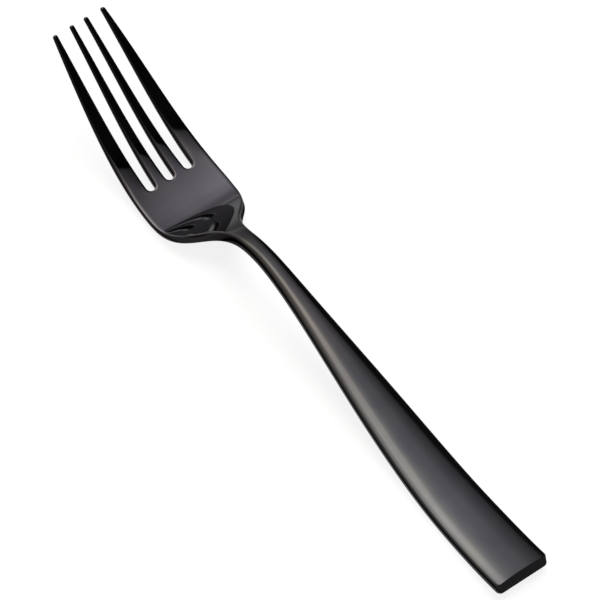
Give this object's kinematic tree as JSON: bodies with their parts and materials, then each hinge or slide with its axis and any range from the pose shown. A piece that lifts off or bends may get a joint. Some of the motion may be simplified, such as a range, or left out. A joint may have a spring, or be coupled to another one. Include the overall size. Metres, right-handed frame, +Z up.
{
  "type": "dinner fork",
  "caption": "Black polished dinner fork: tapered tines on a dished head, a slim arched neck and a flat flared handle with a square end.",
  "frame": {"origin": "middle of the fork's footprint, on the table that it rests on with its tines up", "axes": "+Y along the fork from the handle's end to the tips, +X across it to the right, +Z up from the table"},
  "size_m": [0.0262, 0.2055, 0.031],
  "materials": {
    "black_steel": "polished"
  },
  "bodies": {
    "root": {"fork": "black_steel"}
  },
  "joints": []
}
